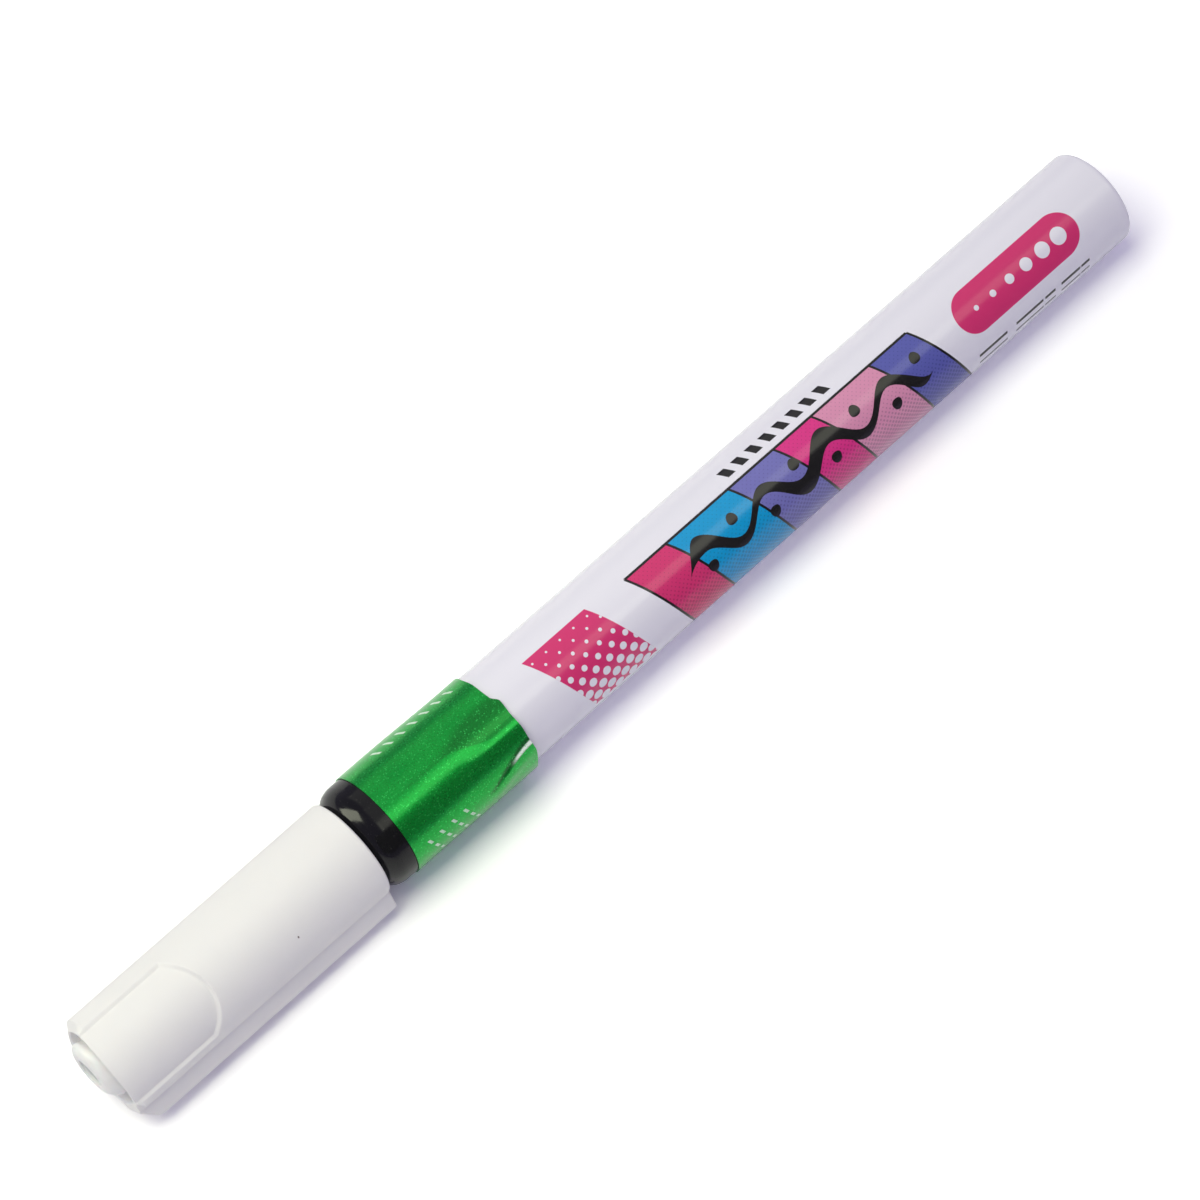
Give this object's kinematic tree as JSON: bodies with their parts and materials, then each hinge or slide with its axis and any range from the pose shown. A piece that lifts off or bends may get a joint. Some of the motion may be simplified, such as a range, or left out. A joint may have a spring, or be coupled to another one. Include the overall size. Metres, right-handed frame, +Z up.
{
  "type": "paint marker",
  "caption": "Slim valve-action paint marker with a push-on winged cap, a film band over the joint, a sprung nib and a loose mixing ball in the barrel.",
  "frame": {"origin": "centre of the flat closed end of the barrel, on the marker's axis", "axes": "+X along the marker's axis from the closed end to the tip and cap, +Z up as it lies"},
  "size_m": [0.1373, 0.0121, 0.0118],
  "materials": {
    "barrel_paint": "white gloss paint with a coloured print",
    "green_film": "green metallised wrapping film, glossy and creased",
    "section_black": "black polished moulding",
    "cap_white": "white moulding with a fine matte texture",
    "inner_white": "white satin moulding",
    "seal_rubber": "black seal rubber",
    "nib_fibre": "pressed white fibre",
    "valve_plastic": "natural white moulding",
    "spring_steel": "bright drawn wire",
    "ball_steel": "polished ball"
  },
  "bodies": {
    "barrel": {"barrel": "barrel_paint", "foil_band": "green_film", "front_section": "section_black", "section_gasket": "seal_rubber", "valve_seat": "valve_plastic", "spring_cup": "valve_plastic", "valve_spring": "spring_steel"},
    "cap": {"cap_shell": "cap_white", "inner_cap": "inner_white"},
    "nib_unit": {"nib": "nib_fibre", "valve_stem": "valve_plastic"},
    "ball": {"mixing_ball": "ball_steel"}
  },
  "joints": [
    {"name": "cap_pull", "type": "slide", "parent": "barrel", "child": "cap", "axis": [1, 0, 0], "range_m": [0, 0.04]},
    {"name": "nib_press", "type": "slide", "parent": "barrel", "child": "nib_unit", "axis": [-1, 0, 0], "range_m": [0, 0.0015], "stiffness_N_per_m": 600, "springref_m": -0.002, "deforming": ["valve_spring"]},
    {"name": "ball_roll", "type": "slide", "parent": "barrel", "child": "ball", "axis": [1, 0, 0], "range_m": [-0.026, 0.054]}
  ]
}
